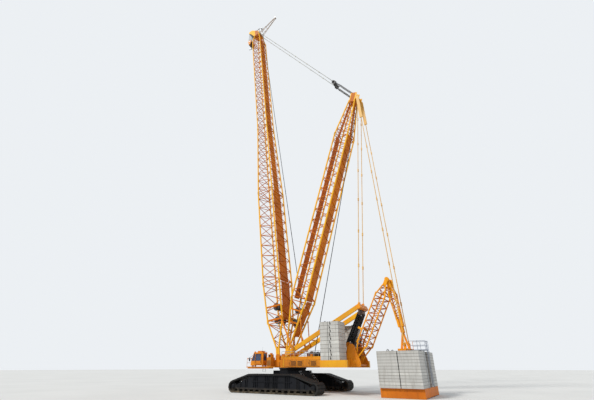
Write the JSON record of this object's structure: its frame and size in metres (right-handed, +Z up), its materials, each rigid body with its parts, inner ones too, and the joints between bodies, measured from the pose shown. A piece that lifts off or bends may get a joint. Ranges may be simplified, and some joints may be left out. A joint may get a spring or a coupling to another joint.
{
  "type": "crawler crane, 1:10 scale model",
  "caption": "Crawler crane with lattice main boom, derrick boom, pendants, guided ballast pallet, slewing deck with cab and ballast stacks, as a 1:10 scale model.",
  "frame": {"origin": "on the slewing axis, at ground level under the tracks", "axes": "+X towards the front of the crane at rest, +Y to its left, where the cab is, +Z up"},
  "size_m": [3.5439, 1.182, 9.2337],
  "materials": {
    "track_black": "worn dark cast steel",
    "frame_grey": "dark slate paint, satin",
    "aluminium": "mill finish",
    "orange_paint": "orange-yellow paint, semi-gloss",
    "winch_grey": "dark grey paint, satin",
    "ballast_grey": "light grey paint, weathered",
    "rope": "greased steel rope",
    "stay_steel": "dull steel",
    "pendant_paint": "pale yellow paint, satin",
    "hook_steel": "forged steel",
    "cylinder_dark": "dark paint, satin",
    "rod_chrome": "polished",
    "window_glass": "tinted",
    "seat_trim": "matt black"
  },
  "bodies": {
    "undercarriage": {"track_left": "track_black", "track_right": "track_black", "side_frame_left": "frame_grey", "side_frame_right": "frame_grey", "rollers_left": "frame_grey", "rollers_right": "frame_grey", "car_body": "frame_grey", "slew_ring": "frame_grey", "access_ladders": "aluminium"},
    "superstructure": {"main_frame": "orange_paint", "house_left": "orange_paint", "house_right": "orange_paint", "engine_block": "winch_grey", "handrails": "orange_paint", "hoist_winches": "winch_grey", "ballast_rail": "orange_paint", "ballast_left": "ballast_grey", "ballast_right": "ballast_grey", "guide_bracket": "orange_paint", "luffing_base": "orange_paint", "cab_platform": "orange_paint", "service_pod": "orange_paint"},
    "cab": {"cab_shell": "orange_paint", "cab_glass": "window_glass", "cab_seat": "seat_trim"},
    "cab_door": {"cab_door": "orange_paint"},
    "boom": {"boom_foot": "orange_paint", "boom_lower": "orange_paint", "boom_middle": "orange_paint", "boom_upper": "orange_paint", "boom_head": "orange_paint", "boom_sheaves": "winch_grey", "tip_arm": "aluminium", "boom_backstops": "orange_paint", "boom_winches": "winch_grey"},
    "hook": {"hoist_falls": "rope", "hook_block": "orange_paint", "load_hook": "hook_steel"},
    "boom_stays": {"boom_stays": "stay_steel", "luffing_block": "winch_grey"},
    "luffing_falls": {"luffing_falls": "rope"},
    "derrick": {"derrick_foot": "orange_paint", "derrick_middle": "orange_paint", "derrick_head": "orange_paint", "derrick_winch": "winch_grey", "derrick_struts": "orange_paint", "aframe_pendants": "pendant_paint"},
    "aframe": {"aframe_legs": "orange_paint", "aframe_head": "orange_paint"},
    "aframe_falls": {"aframe_falls": "rope"},
    "ballast_pendants": {"ballast_pendants": "pendant_paint"},
    "guide_inner": {"guide_inner_leg": "orange_paint"},
    "guide_outer": {"guide_outer_leg": "orange_paint"},
    "cylinder_barrels": {"cylinder_barrels": "cylinder_dark"},
    "cylinder_rods": {"cylinder_rods": "rod_chrome"},
    "pallet": {"pallet_frame": "orange_paint", "pallet_plates": "ballast_grey", "pallet_yoke": "orange_paint"}
  },
  "joints": [
    {"name": "slew", "type": "hinge", "parent": "undercarriage", "child": "superstructure", "pos_m": [0, 0, 0.315], "axis": [0, 0, 1], "continuous": true},
    {"name": "cab_tilt", "type": "hinge", "parent": "superstructure", "child": "cab", "pos_m": [0.367, 0.233, 0.337], "axis": [0, -1, 0], "range_deg": [0, 20]},
    {"name": "cab_door_slide", "type": "slide", "parent": "cab", "child": "cab_door", "axis": [-1, 0, 0], "range_m": [0, 0.09]},
    {"name": "boom_luff", "type": "hinge", "parent": "superstructure", "child": "boom", "pos_m": [0.175, 0, 0.466], "axis": [0, 1, 0], "range_deg": [0, 62.5]},
    {"name": "hook_plumb", "type": "hinge", "parent": "boom", "child": "hook", "pos_m": [1.47124, 0, 9.05124], "axis": [0, 1, 0], "range_deg": [-62.5, 0]},
    {"name": "boom_stays_swing", "type": "hinge", "parent": "boom", "child": "boom_stays", "pos_m": [1.15144, 0, 8.8336], "axis": [0, 1, 0], "range_deg": [0, 8.86]},
    {"name": "luffing_falls_swing", "type": "hinge", "parent": "derrick", "child": "luffing_falls", "pos_m": [-1.38102, 0, 5.14571], "axis": [0, 1, 0], "range_deg": [0, 71.36]},
    {"name": "derrick_luff", "type": "hinge", "parent": "superstructure", "child": "derrick", "pos_m": [0.072, 0, 0.466], "axis": [0, 1, 0], "range_deg": [0, 5]},
    {"name": "aframe_luff", "type": "hinge", "parent": "superstructure", "child": "aframe", "pos_m": [0.072, 0, 0.466], "axis": [0, 1, 0], "range_deg": [0, 5]},
    {"name": "aframe_falls_swing", "type": "hinge", "parent": "aframe", "child": "aframe_falls", "pos_m": [-1.16596, 0, 1.01622], "axis": [0, 1, 0], "range_deg": [0, 5.29]},
    {"name": "ballast_pendants_swing", "type": "hinge", "parent": "derrick", "child": "ballast_pendants", "pos_m": [-1.49678, 0, 5.01456], "axis": [0, 1, 0], "range_deg": [-0.62, 0]},
    {"name": "guide_inner_swing", "type": "hinge", "parent": "superstructure", "child": "guide_inner", "pos_m": [-1.062, 0, 0.385], "axis": [0, 1, 0], "range_deg": [0, 13]},
    {"name": "guide_outer_fold", "type": "hinge", "parent": "guide_inner", "child": "guide_outer", "pos_m": [-1.62067, 0, 1.43571], "axis": [0, 1, 0], "range_deg": [0, 2.74]},
    {"name": "pallet_level", "type": "hinge", "parent": "guide_outer", "child": "pallet", "pos_m": [-1.72172, 0, 0.74304], "axis": [0, 1, 0], "range_deg": [-15.73, 0]},
    {"name": "guide_cylinder_swing", "type": "hinge", "parent": "superstructure", "child": "cylinder_barrels", "pos_m": [-1.022, 0, 0.5], "axis": [0, 1, 0], "range_deg": [0, 16.88]},
    {"name": "guide_rod_slide", "type": "slide", "parent": "cylinder_barrels", "child": "cylinder_rods", "axis": [-0.3875, 0, 0.9219], "range_m": [-0.02, 0]}
  ],
  "couplings": [
    {"joint": "hook_plumb", "follows": "boom_luff", "ratio": -1},
    {"joint": "boom_stays_swing", "follows": "boom_luff", "ratio": 0.1417},
    {"joint": "luffing_falls_swing", "follows": "boom_luff", "ratio": 1.1417},
    {"joint": "aframe_luff", "follows": "derrick_luff", "ratio": 1},
    {"joint": "aframe_falls_swing", "follows": "derrick_luff", "ratio": 1.0565},
    {"joint": "ballast_pendants_swing", "follows": "derrick_luff", "ratio": -0.1233},
    {"joint": "guide_inner_swing", "follows": "derrick_luff", "ratio": 2.6},
    {"joint": "guide_outer_fold", "follows": "derrick_luff", "ratio": 0.546},
    {"joint": "pallet_level", "follows": "derrick_luff", "ratio": -3.146},
    {"joint": "guide_cylinder_swing", "follows": "derrick_luff", "ratio": 3.3756},
    {"joint": "guide_rod_slide", "follows": "derrick_luff", "m_per_rad": -0.18284}
  ]
}
